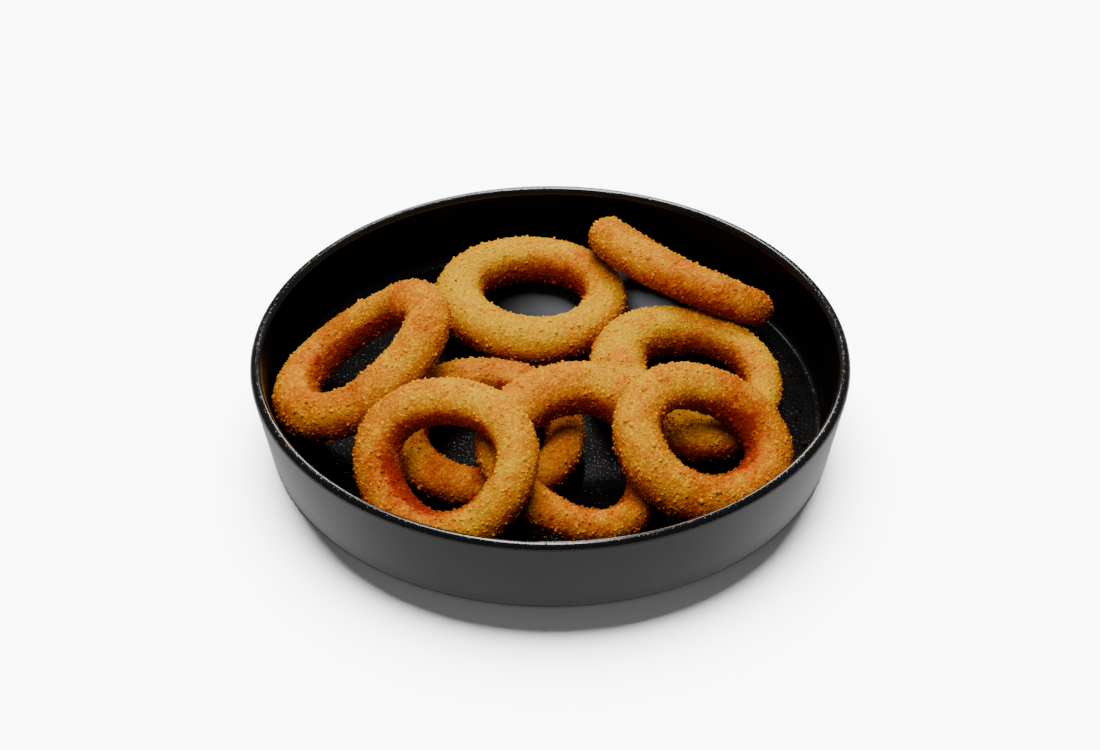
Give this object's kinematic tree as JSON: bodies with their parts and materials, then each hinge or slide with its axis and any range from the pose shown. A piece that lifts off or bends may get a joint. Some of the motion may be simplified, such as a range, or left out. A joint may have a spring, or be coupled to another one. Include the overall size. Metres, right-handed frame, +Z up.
{
  "type": "onion rings side",
  "caption": "Side of breaded, golden fried onion rings piled loosely in a shallow round black glazed dish.",
  "frame": {"origin": "middle of the dish's flat underside, on the surface that it stands on", "axes": "+Z up; -Y is the front of the serving, towards the viewer; +X is its right"},
  "size_m": [0.21, 0.21, 0.054],
  "materials": {
    "black_stoneware": "gloss",
    "fried_crumb_pale": "matte",
    "fried_crumb_golden": "matte",
    "fried_crumb_deep": "matte"
  },
  "bodies": {
    "root": {"dish": "black_stoneware", "ring_centre": "fried_crumb_golden", "ring_back": "fried_crumb_pale", "ring_right": "fried_crumb_pale", "ring_front": "fried_crumb_golden", "ring_front_right": "fried_crumb_golden", "ring_front_left": "fried_crumb_pale", "ring_left": "fried_crumb_golden", "ring_back_right": "fried_crumb_deep"}
  },
  "joints": []
}
